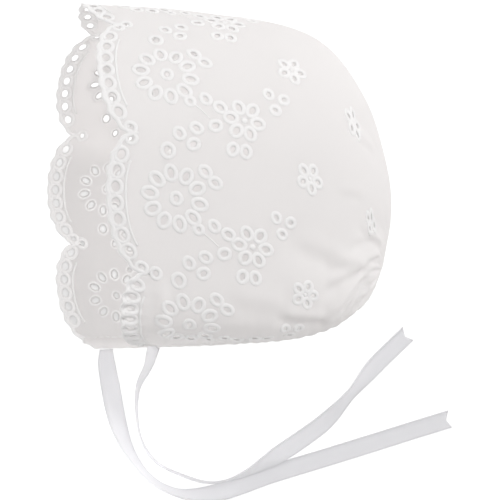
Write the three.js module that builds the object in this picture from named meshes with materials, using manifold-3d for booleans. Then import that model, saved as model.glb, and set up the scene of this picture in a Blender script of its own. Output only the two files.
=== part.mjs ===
// A baby bonnet of white eyelet cotton, laid on its side, with its two ribbon ties laid out beside it.
// Millimetres, +Z up. +X runs from the face opening to the back of the head and +Y from the neck edge to the
// crown. The bonnet's far side lies flat on Z = 0 and its near side faces up.

import * as THREE from "three";
import { mergeVertices } from "three/addons/utils/BufferGeometryUtils.js";
import Module from "manifold-3d";

const wasm = await Module();
wasm.setup();

// Cloth
const CLOTH_WALL = 1.2;
const FAR_CROWN_SHARE = 0.36; // how much of a section's depth the rounded crown takes up on the table side
const NEAR_CROWN_SHARE = 0.46; // and on the side that faces up
const FAR_ROUNDNESS = 2.15; // how squarely the crown turns into the table side, where 2 is a circle's turn
const NEAR_ROUNDNESS = 2.0; // and into the side that faces up
const NEAR_LEAN_SHARE = 0.3; // how much of the near wall's fall is a slow lean towards the neck
const NEAR_LEAN_POWER = 2;
const NEAR_CURL_POWER = 20; // the rest of the fall is a late curl under, along the neck
const CLOTH_ROWS = [0, 0.12, 0.25, 0.37, 0.47, 0.56, 0.64, 0.72, 0.8, 0.87, 0.94, 1];

// Scalloped face edge
const SCALLOP_JOINTS = [-171, -126, -76, -24, 26, 80, 134, 181]; // along the edge, from the crown's middle line
const SCALLOPS = SCALLOP_JOINTS.length - 1;
const SCALLOP_DEPTH = 12.5;
const SCALLOP_POWER = 2.2;
const COLUMNS_PER_SCALLOP = 12;

// Eyelets
const EYELET_SIDES = 6;
const EYELET_CUT = 8;
const BORDER_PITCH = 6.2;
const BORDER_EACH_SIDE = 3;
const BORDER_INSET = 3.6;
const BORDER_LONG_RADIUS = 2;
const BORDER_SHORT_RADIUS = 1.5;
const NECK_CLEARANCE = 4;
const FLOWER_ARCS = [-150, -101, -50, 2, 54, 105, 155]; // one flower to a scallop, from the crown's middle line
const FLOWER_DISTANCE = 27; // from the apex line of the scallops to a flower's centre
const FLOWER_RADIUS = 9.2;
const FLOWER_PETALS = 10;
const PETAL_LONG_RADIUS = 1.6;
const PETAL_SHORT_RADIUS = 1.2;

// Gathers that draw the back together at the nape
const GATHERS = 21;
const GATHER_HEIGHT = 1;
const GATHER_START = 0.6;
const GATHER_FULL = 0.9;

// Neck casing
const SEAM_GAP = 0.3;
const CASING_WIDTH = 4;
const CASING_THICKNESS = 2.2;
const CASING_SIDES = 8;
const CASING_STEPS = 29; // along each arm, from a front corner to the nape
const CASING_PUCKER = 0.12;
const CASING_CORNER_SHARE = 0.4; // the width left at the two rounded front corners
const CASING_NAPE_SHARE = 0.4; // each arm's share of the gap between the neck edges near the nape

// Ribbon ties
const RIBBON_THICKNESS = 1;
const RIBBON_STEPS = 36;
const RIBBON_NOTCH = 2.2;

// Numeric helpers
const DIFFERENCE = 0.002;
const SECTION_STEPS = 60;
const MERIDIAN_STEPS = 60;

function table(columns, rows) {
  return rows.map((row) => Object.fromEntries(columns.map((name, i) => [name, row[i]])));
}

// Cross-sections of the cloth from the scalloped front (back 0) to the nape (back 1). Each section starts at
// the far neck edge, runs along the table, over the crown and down the near wall to the near neck edge. Its
// crownPower is how the crown turns over: 2 is a circle's turn and a lower power is nearer to a crease.
const SECTIONS = table(
  [
    "back", "farNeckX", "farWallX", "crownX", "nearWallX", "nearNeckX",
    "crownY", "farNeckY", "nearNeckY", "lowZ", "highZ", "nearNeckZ", "crownPower",
  ],
  [
    [0.0, -68.5, -76, -65, -60, -50, 75.4, -70.6, -68.3, 0, 96, 68, 1.35],
    [0.25, -28, -39, -16, -23, -16, 73.8, -70.6, -68.6, 0, 98, 69, 1.7],
    [0.5, 11, -1, 32, 15, 20, 66.5, -69.8, -67.4, 0, 94, 67, 2.05],
    [0.7, 35, 27, 57, 41, 42, 44, -66.5, -63, 0, 84, 62, 2.05],
    [0.85, 50, 49, 71, 58, 54.5, 14, -60, -56.5, 7, 69, 55, 2.05],
    [0.95, 62, 63, 75.5, 67, 63.5, -10, -50.5, -48, 22, 56, 49, 2.05],
    [1.0, 70, 71, 72, 71, 70.5, -33.5, -38.5, -38.5, 39, 46, 43, 2.05],
  ],
);
const SECTION_BACKS = SECTIONS.map((row) => row.back);
const ACROSS_OF_X = { farNeckX: 0, farWallX: 0.2, crownX: 0.5, nearWallX: 0.8, nearNeckX: 1 };

// Soft folds on the near side. Each one runs straight between two places on the cloth, given as fractions
// across and back, and stands up by height (a negative height is a hollow) over its width on either side.
const FOLDS = table(
  ["across0", "back0", "across1", "back1", "height", "width"],
  [
    [0.84, 0.467, 0.835, 0.85, -1.4, 0.035],
    [0.804, 0.767, 0.735, 0.912, -1.2, 0.025],
    [0.927, 0.475, 0.94, 0.613, -1.6, 0.03],
    [0.648, 0.675, 0.642, 0.771, -0.8, 0.025],
    [0.86, 0.779, 0.904, 0.671, 1.2, 0.03],
    [0.881, 0.821, 0.927, 0.725, -1.2, 0.025],
  ],
);

// Ribbon routes after the seam: places on the table, the height of the ribbon's lower edge above it, the
// ribbon's turn about its length (0 lies flat, 90 stands on edge, a minus lifts its right edge) and its width.
const ROUTE_COLUMNS = ["x", "y", "lower", "turn", "width"];
const FAR_ROUTE = table(ROUTE_COLUMNS, [
  [-48.8, -81.1, 0.1, 0, 8],
  [-46.5, -95.2, 0.1, 0, 9],
  [-43.5, -110.1, 0.1, -24, 9],
  [-37.9, -124.0, 0.1, -56, 9],
  [-28.2, -136.3, 0.1, -73, 9],
  [-14.5, -143.4, 0.1, -73, 9],
  [2.3, -144.0, 0.1, -44, 9],
  [14.0, -141.8, 0.1, -10, 9],
  [30.0, -137.3, 0.1, 0, 9],
  [65.5, -128.5, 0.1, 0, 9],
  [107.5, -117.8, 0.1, 0, 9],
  [123.6, -113.8, 0.1, 0, 9],
]);
const NEAR_ROUTE = table(ROUTE_COLUMNS, [
  [-35.8, -80.1, 34.5, 86, 8],
  [-37.3, -91.0, 19.0, 94, 9],
  [-36.1, -103.6, 6.0, 95, 9],
  [-33.0, -117.3, 0.8, 92, 9],
  [-26.7, -127.4, 0.4, 84, 9],
  [-14.9, -134.2, 0.6, 78, 9],
  [-2.1, -138.4, 1.8, 75, 9],
  [7.5, -137.8, 2.0, 72, 9],
  [18.3, -134.4, 1.9, 54, 9],
  [27.0, -130.6, 1.7, 28, 9],
  [34.2, -127.2, 1.4, 6, 9],
  [44.9, -121.4, 0.3, 0, 9],
  [57.8, -112.5, 0.1, 8, 9],
  [70.1, -99.5, 0.1, 40, 9],
  [83.2, -86.5, 0.1, 5, 9],
  [101.1, -70.5, 0.1, 0, 9],
]);
const RIBBON_SEAMS = {
  far: { across: 0, back: 0.12, turn: 0, width: 6 },
  near: { across: 1, back: 0.1, turn: 50, width: 5 },
};

// Cubic through values at rising keys, with the slope at each key taken from its neighbours.
function smooth(keys, values, at) {
  const last = keys.length - 1;
  let i = 0;
  while (i < last - 1 && at > keys[i + 1]) i += 1;
  const slope = (k) => {
    const before = Math.max(k - 1, 0);
    const after = Math.min(k + 1, last);
    return (values[after] - values[before]) / (keys[after] - keys[before]);
  };
  const span = keys[i + 1] - keys[i];
  const t = (at - keys[i]) / span;
  const t2 = t * t;
  const t3 = t2 * t;
  return (
    (2 * t3 - 3 * t2 + 1) * values[i] +
    (t3 - 2 * t2 + t) * span * slope(i) +
    (3 * t2 - 2 * t3) * values[i + 1] +
    (t3 - t2) * span * slope(i + 1)
  );
}

function sectionRow(back) {
  const row = {};
  for (const name of Object.keys(SECTIONS[0])) {
    row[name] = smooth(SECTION_BACKS, SECTIONS.map((section) => section[name]), back);
  }
  row.lowZ = Math.max(row.lowZ, 0);
  return row;
}

// A section's outline in the YZ plane, with the length run at each of its points, at the crown and in all.
function sectionLine(row) {
  const depth = row.crownY - (row.farNeckY + row.nearNeckY) / 2;
  const farShoulderY = row.crownY - FAR_CROWN_SHARE * depth;
  const nearShoulderY = row.crownY - NEAR_CROWN_SHARE * depth;
  const middleZ = (row.lowZ + row.highZ) / 2;
  const halfHeight = (row.highZ - row.lowZ) / 2;
  const points = [];
  for (let i = 0; i < SECTION_STEPS; i += 1) {
    const run = i / SECTION_STEPS;
    points.push(new THREE.Vector2(THREE.MathUtils.lerp(row.farNeckY, farShoulderY, run), row.lowZ));
  }
  for (let i = 0; i < SECTION_STEPS; i += 1) {
    const angle = Math.PI * (i / SECTION_STEPS - 0.5);
    const rise = Math.sign(angle) * Math.abs(Math.sin(angle)) ** (2 / row.crownPower);
    const reach = Math.abs(Math.cos(angle)) ** (2 / (angle < 0 ? FAR_ROUNDNESS : NEAR_ROUNDNESS));
    const y = THREE.MathUtils.lerp(angle < 0 ? farShoulderY : nearShoulderY, row.crownY, reach);
    points.push(new THREE.Vector2(y, middleZ + halfHeight * rise));
  }
  for (let i = 0; i <= SECTION_STEPS; i += 1) {
    const run = i / SECTION_STEPS;
    const fall = THREE.MathUtils.lerp(run ** NEAR_CURL_POWER, run ** NEAR_LEAN_POWER, NEAR_LEAN_SHARE);
    const z = THREE.MathUtils.lerp(row.highZ, row.nearNeckZ, fall);
    points.push(new THREE.Vector2(THREE.MathUtils.lerp(nearShoulderY, row.nearNeckY, run), z));
  }
  const lengths = [0];
  for (let i = 1; i < points.length; i += 1) {
    lengths.push(lengths[i - 1] + points[i].distanceTo(points[i - 1]));
  }
  return { points, lengths, crown: lengths[SECTION_STEPS * 1.5], total: lengths[lengths.length - 1] };
}

const sectionCache = new Map();

function sectionAt(back) {
  if (!sectionCache.has(back)) {
    const row = sectionRow(back);
    sectionCache.set(back, { row, line: sectionLine(row) });
  }
  return sectionCache.get(back);
}

// The cloth's smooth outer face, before gathers and folds.
function smoothCloth(across, back) {
  const { row, line } = sectionAt(back);
  const run = across * line.total;
  let i = 0;
  while (i < line.points.length - 2 && run > line.lengths[i + 1]) i += 1;
  const share = (run - line.lengths[i]) / (line.lengths[i + 1] - line.lengths[i]);
  const place = line.points[i].clone().lerp(line.points[i + 1], share);
  const names = Object.keys(ACROSS_OF_X);
  const x = smooth(Object.values(ACROSS_OF_X), names.map((name) => row[name]), across);
  return new THREE.Vector3(x, place.x, place.y);
}

// Directions on the cloth: over the section, towards the back, and out of the cloth.
function clothAxes(across, back) {
  const acrossStart = Math.max(across - DIFFERENCE, 0);
  const acrossEnd = Math.min(across + DIFFERENCE, 1);
  const backStart = Math.max(back - DIFFERENCE, 0);
  const backEnd = Math.min(back + DIFFERENCE, 1);
  const over = smoothCloth(acrossEnd, back).sub(smoothCloth(acrossStart, back)).normalize();
  const along = smoothCloth(across, backEnd).sub(smoothCloth(across, backStart)).normalize();
  const out = over.clone().cross(along).normalize();
  return { over, along, out };
}

function foldHeight(across, back) {
  const growth = THREE.MathUtils.smoothstep(back, GATHER_START, GATHER_FULL);
  const ending = 1 - THREE.MathUtils.smoothstep(back, GATHER_FULL, 1);
  let height = GATHER_HEIGHT * growth * ending * Math.cos(2 * Math.PI * GATHERS * across);
  for (const fold of FOLDS) {
    const run = new THREE.Vector2(fold.across1 - fold.across0, fold.back1 - fold.back0);
    const place = new THREE.Vector2(across - fold.across0, back - fold.back0);
    const along = THREE.MathUtils.clamp(place.dot(run) / run.lengthSq(), 0, 1);
    const apart = place.distanceTo(run.multiplyScalar(along)) / fold.width;
    height += fold.height * Math.exp(-apart * apart);
  }
  return height;
}

function clothPoint(across, back) {
  const { out } = clothAxes(across, back);
  const outer = smoothCloth(across, back).addScaledVector(out, foldHeight(across, back));
  outer.z = Math.max(outer.z, 0);
  const inner = outer.clone().addScaledVector(out, -CLOTH_WALL);
  return { outer, inner, out };
}

// The face edge's length, and its lengths from the crown's middle line to the two neck corners.
const FRONT_ARC = sectionAt(0).line.total;
const FAR_ARC = sectionAt(0).line.crown;
const NEAR_ARC = FRONT_ARC - FAR_ARC;

const acrossOfArc = (arc) => (arc + FAR_ARC) / FRONT_ARC;
const arcFromNeck = (arc) => Math.min(FAR_ARC + arc, NEAR_ARC - arc);

function scallopCentre(i) {
  return (SCALLOP_JOINTS[i] + SCALLOP_JOINTS[i + 1]) / 2;
}

// How far the scalloped edge stands back from the line through the scallops' tips.
function edgeDistance(arc) {
  let i = 0;
  while (i < SCALLOPS - 1 && arc > SCALLOP_JOINTS[i + 1]) i += 1;
  const half = (SCALLOP_JOINTS[i + 1] - SCALLOP_JOINTS[i]) / 2;
  const offCentre = Math.min(Math.abs(arc - scallopCentre(i)) / half, 1);
  return SCALLOP_DEPTH * (1 - Math.sqrt(1 - offCentre ** SCALLOP_POWER));
}

// The fraction towards the back that lies a given distance from the front, measured along the cloth.
function backAtDistance(across, distance) {
  let run = 0;
  let before = smoothCloth(across, 0);
  for (let i = 1; i <= MERIDIAN_STEPS; i += 1) {
    const after = smoothCloth(across, i / MERIDIAN_STEPS);
    const step = after.distanceTo(before);
    if (run + step >= distance) return (i - 1 + (distance - run) / step) / MERIDIAN_STEPS;
    run += step;
    before = after;
  }
  return 1;
}

function columnArcs() {
  const joints = [-FAR_ARC, ...SCALLOP_JOINTS.slice(1, -1), NEAR_ARC];
  const arcs = [];
  for (let i = 0; i < SCALLOPS; i += 1) {
    for (let k = 0; k < COLUMNS_PER_SCALLOP; k += 1) {
      arcs.push(THREE.MathUtils.lerp(joints[i], joints[i + 1], k / COLUMNS_PER_SCALLOP));
    }
  }
  arcs.push(NEAR_ARC);
  return arcs;
}

// The cloth as one closed sheet: outer and inner faces, a pole at the nape and walls along its free edges.
function clothGeometry() {
  const arcs = columnArcs();
  const lastColumn = arcs.length - 1;
  const lastRow = CLOTH_ROWS.length - 1;
  const positions = [];
  const triangles = [];
  const outer = [];
  const inner = [];
  const addVertex = (point) => positions.push(point.x, point.y, point.z) / 3 - 1;
  const outerPole = new THREE.Vector3();
  const innerPole = new THREE.Vector3();
  for (const arc of arcs) {
    const across = acrossOfArc(arc);
    const front = backAtDistance(across, edgeDistance(arc));
    const outerColumn = [];
    const innerColumn = [];
    for (const share of CLOTH_ROWS) {
      const point = clothPoint(across, THREE.MathUtils.lerp(front, 1, share));
      outerColumn.push(addVertex(point.outer));
      innerColumn.push(addVertex(point.inner));
      if (share === 1) {
        outerPole.addScaledVector(point.outer, 1 / arcs.length);
        innerPole.addScaledVector(point.inner, 1 / arcs.length);
      }
    }
    outer.push(outerColumn);
    inner.push(innerColumn);
  }
  const outerTip = addVertex(outerPole);
  const innerTip = addVertex(innerPole);
  const quad = (a, b, c, d) => triangles.push(a, b, c, a, c, d);
  for (let i = 0; i < lastColumn; i += 1) {
    for (let j = 0; j < lastRow; j += 1) {
      quad(outer[i][j], outer[i + 1][j], outer[i + 1][j + 1], outer[i][j + 1]);
      quad(inner[i][j], inner[i][j + 1], inner[i + 1][j + 1], inner[i + 1][j]);
    }
    quad(outer[i + 1][0], outer[i][0], inner[i][0], inner[i + 1][0]);
    triangles.push(outer[i][lastRow], outer[i + 1][lastRow], outerTip);
    triangles.push(inner[i + 1][lastRow], inner[i][lastRow], innerTip);
  }
  for (let j = 0; j < lastRow; j += 1) {
    quad(outer[0][j], outer[0][j + 1], inner[0][j + 1], inner[0][j]);
    quad(outer[lastColumn][j + 1], outer[lastColumn][j], inner[lastColumn][j], inner[lastColumn][j + 1]);
  }
  quad(outer[0][lastRow], outerTip, innerTip, inner[0][lastRow]);
  quad(outerTip, outer[lastColumn][lastRow], inner[lastColumn][lastRow], innerTip);
  return indexedGeometry(positions, triangles);
}

function indexedGeometry(positions, triangles) {
  const geometry = new THREE.BufferGeometry();
  geometry.setAttribute("position", new THREE.Float32BufferAttribute(positions, 3));
  geometry.setIndex(triangles);
  return geometry;
}

function solidOf(geometry) {
  const bare = geometry.clone();
  bare.deleteAttribute("normal");
  bare.deleteAttribute("uv");
  const merged = mergeVertices(bare);
  return new wasm.Manifold(
    new wasm.Mesh({
      numProp: 3,
      vertProperties: new Float32Array(merged.attributes.position.array),
      triVerts: new Uint32Array(merged.index.array),
    }),
  );
}

function geometryOf(solid) {
  const mesh = solid.getMesh();
  return indexedGeometry(Array.from(mesh.vertProperties), Array.from(mesh.triVerts));
}

// A prism through the cloth at a place on it. The slant is the angle of the oval's long axis, from the
// direction along the face edge towards the back.
function eyeletCutter(arc, distance, longRadius, shortRadius, slant) {
  const across = acrossOfArc(arc);
  const back = backAtDistance(across, distance);
  const { over, out } = clothAxes(across, back);
  const square = out.clone().cross(over);
  const long = over.clone().multiplyScalar(Math.cos(slant)).addScaledVector(square, -Math.sin(slant));
  const short = long.clone().cross(out);
  const { outer } = clothPoint(across, back);
  const frame = new THREE.Matrix4().makeBasis(
    long.multiplyScalar(longRadius),
    out.clone(),
    short.multiplyScalar(shortRadius),
  );
  frame.setPosition(outer.addScaledVector(out, -CLOTH_WALL / 2));
  return new THREE.CylinderGeometry(1, 1, EYELET_CUT, EYELET_SIDES).applyMatrix4(frame);
}

function eyeletCutters() {
  const cutters = [];
  for (let i = 0; i < SCALLOPS; i += 1) {
    for (let k = -BORDER_EACH_SIDE; k <= BORDER_EACH_SIDE; k += 1) {
      const arc = scallopCentre(i) + k * BORDER_PITCH;
      if (arcFromNeck(arc) < NECK_CLEARANCE) continue;
      const slope = (edgeDistance(arc + 1) - edgeDistance(arc - 1)) / 2;
      const distance = edgeDistance(arc) + BORDER_INSET;
      cutters.push(eyeletCutter(arc, distance, BORDER_LONG_RADIUS, BORDER_SHORT_RADIUS, Math.atan(slope)));
    }
    for (let k = 0; k < FLOWER_PETALS; k += 1) {
      const angle = (2 * Math.PI * k) / FLOWER_PETALS;
      const arc = FLOWER_ARCS[i] + FLOWER_RADIUS * Math.cos(angle);
      const distance = FLOWER_DISTANCE + FLOWER_RADIUS * Math.sin(angle);
      cutters.push(eyeletCutter(arc, distance, PETAL_LONG_RADIUS, PETAL_SHORT_RADIUS, angle));
    }
  }
  return cutters;
}

function crownGeometry() {
  let crown = solidOf(clothGeometry());
  for (const cutter of eyeletCutters()) crown = crown.subtract(solidOf(cutter));
  return geometryOf(crown);
}

// A closed skin over rings of points that run counter-clockwise about the direction of travel. Each cap is a
// list of quads by ring index.
function skinGeometry(rings, capQuads) {
  const sides = rings[0].length;
  const positions = rings.flat().flatMap((point) => point.toArray());
  const triangles = [];
  const quad = (a, b, c, d) => triangles.push(a, b, c, a, c, d);
  for (let k = 0; k < rings.length - 1; k += 1) {
    for (let i = 0; i < sides; i += 1) {
      const next = (i + 1) % sides;
      const here = k * sides;
      const there = here + sides;
      quad(here + i, here + next, there + next, there + i);
    }
  }
  const end = (rings.length - 1) * sides;
  for (const [a, b, c, d] of capQuads) {
    quad(a, d, c, b);
    quad(end + a, end + b, end + c, end + d);
  }
  return indexedGeometry(positions, triangles);
}

// The casing's frame at a place on the neck edge, where across is 0 on the far edge and 1 on the near edge.
function casingFrame(across, back) {
  const { along, out } = clothAxes(across, back);
  const away = along.cross(out).multiplyScalar(across === 0 ? -1 : 1);
  const edgeGap = smoothCloth(0, back).distanceTo(smoothCloth(1, back));
  const width = Math.min(CASING_WIDTH, CASING_NAPE_SHARE * edgeGap);
  const edge = clothPoint(across, back).outer;
  return { edge, away, out, width };
}

function casingRing(across, back, step) {
  const { edge, away, out, width: fullWidth } = casingFrame(across, back);
  const width = fullWidth * (step === 0 ? CASING_CORNER_SHARE : 1);
  const depth = (CASING_THICKNESS / 2) * (1 + (step % 2 === 0 ? CASING_PUCKER : -CASING_PUCKER));
  const flat = 1 / Math.cos(Math.PI / CASING_SIDES);
  const ring = [];
  for (let i = 0; i < CASING_SIDES; i += 1) {
    const angle = (2 * Math.PI * (i + 0.5)) / CASING_SIDES;
    const reach = SEAM_GAP + (width / 2) * (1 + flat * Math.cos(angle));
    const rise = depth * (flat * Math.sin(angle) - 1);
    const point = edge.clone().addScaledVector(away, reach).addScaledVector(out, rise);
    point.z = Math.max(point.z, 0);
    ring.push(point);
  }
  return ring;
}

// Rings along the neck edge from a front corner of the cloth to the nape.
function casingArm(across) {
  const corner = backAtDistance(across, edgeDistance(across === 0 ? -FAR_ARC : NEAR_ARC));
  const rings = [];
  for (let i = 0; i <= CASING_STEPS; i += 1) {
    rings.push(casingRing(across, THREE.MathUtils.lerp(corner, 1, i / CASING_STEPS), i));
  }
  return rings;
}

function casingGeometry() {
  const rings = [...casingArm(0), ...casingArm(1).reverse()];
  return skinGeometry(rings, [[0, 1, 2, 3], [0, 3, 4, 7], [4, 5, 6, 7]]);
}

// How far a ribbon's centre stands above its lower edge.
function ribbonLift(turn, width) {
  const angle = THREE.MathUtils.degToRad(Math.abs(turn));
  return (width * Math.sin(angle) + RIBBON_THICKNESS * Math.cos(angle)) / 2;
}

// A flat ribbon from its seam under the casing along its route to a notched free end.
function tieGeometry(seam, route) {
  const { edge, away, out, width } = casingFrame(seam.across, seam.back);
  const start = edge
    .addScaledVector(away, 2 * SEAM_GAP + width)
    .addScaledVector(out, -CASING_THICKNESS / 2);
  const lower = start.z - ribbonLift(seam.turn, seam.width);
  const rows = [{ x: start.x, y: start.y, lower, turn: seam.turn, width: seam.width }, ...route];
  const keys = rows.map((row, i) => i);
  const line = new THREE.CatmullRomCurve3(rows.map((row) => new THREE.Vector3(row.x, row.y, row.lower)));
  const up = new THREE.Vector3(0, 0, 1);
  const rings = [];
  for (let i = 0; i <= RIBBON_STEPS; i += 1) {
    const share = line.getUtoTmapping(i / RIBBON_STEPS) * (rows.length - 1);
    const turnDegrees = smooth(keys, rows.map((row) => row.turn), share);
    const turn = THREE.MathUtils.degToRad(turnDegrees);
    const half = smooth(keys, rows.map((row) => row.width), share) / 2;
    const centre = line.getPointAt(i / RIBBON_STEPS);
    centre.z += ribbonLift(turnDegrees, 2 * half);
    const ahead = line.getTangentAt(i / RIBBON_STEPS);
    const level = up.clone().cross(ahead).normalize();
    const lift = ahead.clone().cross(level);
    const side = level.multiplyScalar(Math.cos(turn)).addScaledVector(lift, Math.sin(turn));
    const face = ahead.clone().cross(side);
    const notch = i === RIBBON_STEPS ? -RIBBON_NOTCH : 0;
    const corner = (across, through, along) =>
      centre
        .clone()
        .addScaledVector(side, across * half)
        .addScaledVector(face, (through * RIBBON_THICKNESS) / 2)
        .addScaledVector(ahead, along);
    rings.push([
      corner(-1, -1, 0), corner(0, -1, notch), corner(1, -1, 0),
      corner(1, 1, 0), corner(0, 1, notch), corner(-1, 1, 0),
    ]);
  }
  return skinGeometry(rings, [[0, 1, 4, 5], [1, 2, 3, 4]]);
}

const cotton = new THREE.MeshStandardMaterial({ color: 0xefebea, roughness: 0.9, metalness: 0 });
const hem = new THREE.MeshStandardMaterial({ color: 0xe6e2e1, roughness: 0.9, metalness: 0 });
const ribbon = new THREE.MeshStandardMaterial({ color: 0xe8e8ea, roughness: 0.6, metalness: 0 });

function piece(name, geometry, material) {
  const mesh = new THREE.Mesh(geometry, material);
  mesh.name = name;
  return mesh;
}

const bonnet = new THREE.Group();
bonnet.add(piece("crown", crownGeometry(), cotton));
bonnet.add(piece("neck_casing", casingGeometry(), hem));
bonnet.add(piece("tie_far", tieGeometry(RIBBON_SEAMS.far, FAR_ROUTE), ribbon));
bonnet.add(piece("tie_near", tieGeometry(RIBBON_SEAMS.near, NEAR_ROUTE), ribbon));

export default bonnet;
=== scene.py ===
import math
import random

import bpy
import numpy as np
from mathutils import Matrix, Vector
from mathutils.geometry import delaunay_2d_cdt


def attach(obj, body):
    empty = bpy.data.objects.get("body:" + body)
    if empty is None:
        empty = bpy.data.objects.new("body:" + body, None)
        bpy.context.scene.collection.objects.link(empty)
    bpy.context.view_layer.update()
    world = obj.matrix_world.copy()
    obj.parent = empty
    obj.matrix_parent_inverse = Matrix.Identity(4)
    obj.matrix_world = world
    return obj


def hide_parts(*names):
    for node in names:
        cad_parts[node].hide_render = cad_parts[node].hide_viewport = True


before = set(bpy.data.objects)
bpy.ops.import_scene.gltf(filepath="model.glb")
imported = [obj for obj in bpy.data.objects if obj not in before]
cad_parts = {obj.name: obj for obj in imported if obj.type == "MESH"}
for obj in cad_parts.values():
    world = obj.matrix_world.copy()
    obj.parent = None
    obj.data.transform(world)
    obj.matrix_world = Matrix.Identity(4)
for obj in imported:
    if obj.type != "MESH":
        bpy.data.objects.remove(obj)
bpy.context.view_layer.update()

# The looks of a baby bonnet: eyelet cotton with rims of thread, a puckered neck hem and two ribbon ties.
# Lengths are in millimetres and become metres where meshes are made.
MM = 0.001

# The camera looks down on the table, leaning a little towards the face opening.
CAMERA_TILT = math.radians(14)
CAMERA_DISTANCE = 500
CAMERA_TARGET = Vector((9, -29, 45))
CAMERA_LENS = 81.82
SENSOR_WIDTH = 36


def add_camera():
    data = bpy.data.cameras.new("camera")
    data.lens = CAMERA_LENS
    data.sensor_width = SENSOR_WIDTH
    camera = bpy.data.objects.new("camera", data)
    bpy.context.scene.collection.objects.link(camera)
    right = Vector((math.cos(CAMERA_TILT), 0, math.sin(CAMERA_TILT)))
    up = Vector((0, 1, 0))
    behind = right.cross(up)
    eye = (CAMERA_TARGET + behind * CAMERA_DISTANCE) * MM
    turn = Matrix((right, up, behind)).transposed()
    camera.matrix_world = Matrix.Translation(eye) @ turn.to_4x4()
    bpy.context.scene.camera = camera


add_camera()

# Cross-sections of the cloth from the scalloped front (back 0) to the nape (back 1), as in the solids.
SECTION_COLUMNS = (
    "back", "far_neck_x", "far_wall_x", "crown_x", "near_wall_x", "near_neck_x",
    "crown_y", "far_neck_y", "near_neck_y", "low_z", "high_z", "near_neck_z", "crown_power",
)
SECTIONS = np.array([
    [0.0, -68.5, -76, -65, -60, -50, 75.4, -70.6, -68.3, 0, 96, 68, 1.35],
    [0.25, -28, -39, -16, -23, -16, 73.8, -70.6, -68.6, 0, 98, 69, 1.7],
    [0.5, 11, -1, 32, 15, 20, 66.5, -69.8, -67.4, 0, 94, 67, 2.05],
    [0.7, 35, 27, 57, 41, 42, 44, -66.5, -63, 0, 84, 62, 2.05],
    [0.85, 50, 49, 71, 58, 54.5, 14, -60, -56.5, 7, 69, 55, 2.05],
    [0.95, 62, 63, 75.5, 67, 63.5, -10, -50.5, -48, 22, 56, 49, 2.05],
    [1.0, 70, 71, 72, 71, 70.5, -33.5, -38.5, -38.5, 39, 46, 43, 2.05],
])
ACROSS_OF_X = (0, 0.2, 0.5, 0.8, 1)
FAR_CROWN_SHARE = 0.36
NEAR_CROWN_SHARE = 0.46
FAR_ROUNDNESS = 2.15
NEAR_ROUNDNESS = 2.0
NEAR_LEAN_SHARE = 0.3
NEAR_LEAN_POWER = 2
NEAR_CURL_POWER = 20
SECTION_STEPS = 96
LATTICE_ROWS = 241
LATTICE_COLUMNS = 481

SCALLOP_JOINTS = np.array([-171, -126, -76, -24, 26, 80, 134, 181])  # along the face edge, from the crown
SCALLOP_DEPTH = 12.5
SCALLOP_POWER = 2.2
BORDER_PITCHES = np.array([6.2, 6.2, 6.2, 6.2, 6.2, 6.2, 4.7])  # between eyelets, drawn in at the near corner


def smooth(keys, values, at):
    """Cubic through values at rising keys, with the slope at each key taken from its neighbours."""
    keys = np.asarray(keys, float)
    values = np.asarray(values, float)
    order = np.arange(len(keys))
    before = np.maximum(order - 1, 0)
    after = np.minimum(order + 1, len(keys) - 1)
    slopes = (values[after] - values[before]) / (keys[after] - keys[before])
    i = np.clip(np.searchsorted(keys, at) - 1, 0, len(keys) - 2)
    span = keys[i + 1] - keys[i]
    t = (at - keys[i]) / span
    t2 = t * t
    t3 = t2 * t
    start = (2 * t3 - 3 * t2 + 1) * values[i] + (t3 - 2 * t2 + t) * span * slopes[i]
    end = (3 * t2 - 2 * t3) * values[i + 1] + (t3 - t2) * span * slopes[i + 1]
    return start + end


def smoothstep(value, low, high):
    t = np.clip((value - low) / (high - low), 0, 1)
    return t * t * (3 - 2 * t)


def section_points(back, across):
    """Points across one section of the cloth, the section's length and its length up to the crown."""
    row = {name: smooth(SECTIONS[:, 0], SECTIONS[:, i], back) for i, name in enumerate(SECTION_COLUMNS)}
    low = max(row["low_z"], 0)
    high = row["high_z"]
    depth = row["crown_y"] - (row["far_neck_y"] + row["near_neck_y"]) / 2
    far_shoulder = row["crown_y"] - FAR_CROWN_SHARE * depth
    near_shoulder = row["crown_y"] - NEAR_CROWN_SHARE * depth
    run = np.linspace(0, 1, SECTION_STEPS, endpoint=False)
    angle = np.pi * (run - 0.5)
    rise = np.sign(angle) * np.abs(np.sin(angle)) ** (2 / row["crown_power"])
    reach = np.abs(np.cos(angle)) ** (2 / np.where(angle < 0, FAR_ROUNDNESS, NEAR_ROUNDNESS))
    shoulder = np.where(angle < 0, far_shoulder, near_shoulder)
    last = np.linspace(0, 1, SECTION_STEPS + 1)
    fall = NEAR_LEAN_SHARE * last ** NEAR_LEAN_POWER + (1 - NEAR_LEAN_SHARE) * last ** NEAR_CURL_POWER
    y = np.concatenate([
        row["far_neck_y"] + (far_shoulder - row["far_neck_y"]) * run,
        shoulder + (row["crown_y"] - shoulder) * reach,
        near_shoulder + (row["near_neck_y"] - near_shoulder) * last,
    ])
    z = np.concatenate([
        np.full(SECTION_STEPS, low),
        (low + high) / 2 + (high - low) / 2 * rise,
        high - (high - row["near_neck_z"]) * fall,
    ])
    lengths = np.concatenate([[0], np.cumsum(np.hypot(np.diff(y), np.diff(z)))])
    share = lengths / lengths[-1]
    x = smooth(ACROSS_OF_X, [row[name] for name in SECTION_COLUMNS[1:6]], across)
    points = np.stack([x, np.interp(across, share, y), np.interp(across, share, z)], axis=-1)
    return points, lengths[-1], lengths[SECTION_STEPS + SECTION_STEPS // 2]


def unit(vectors):
    return vectors / np.linalg.norm(vectors, axis=-1, keepdims=True)


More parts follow.
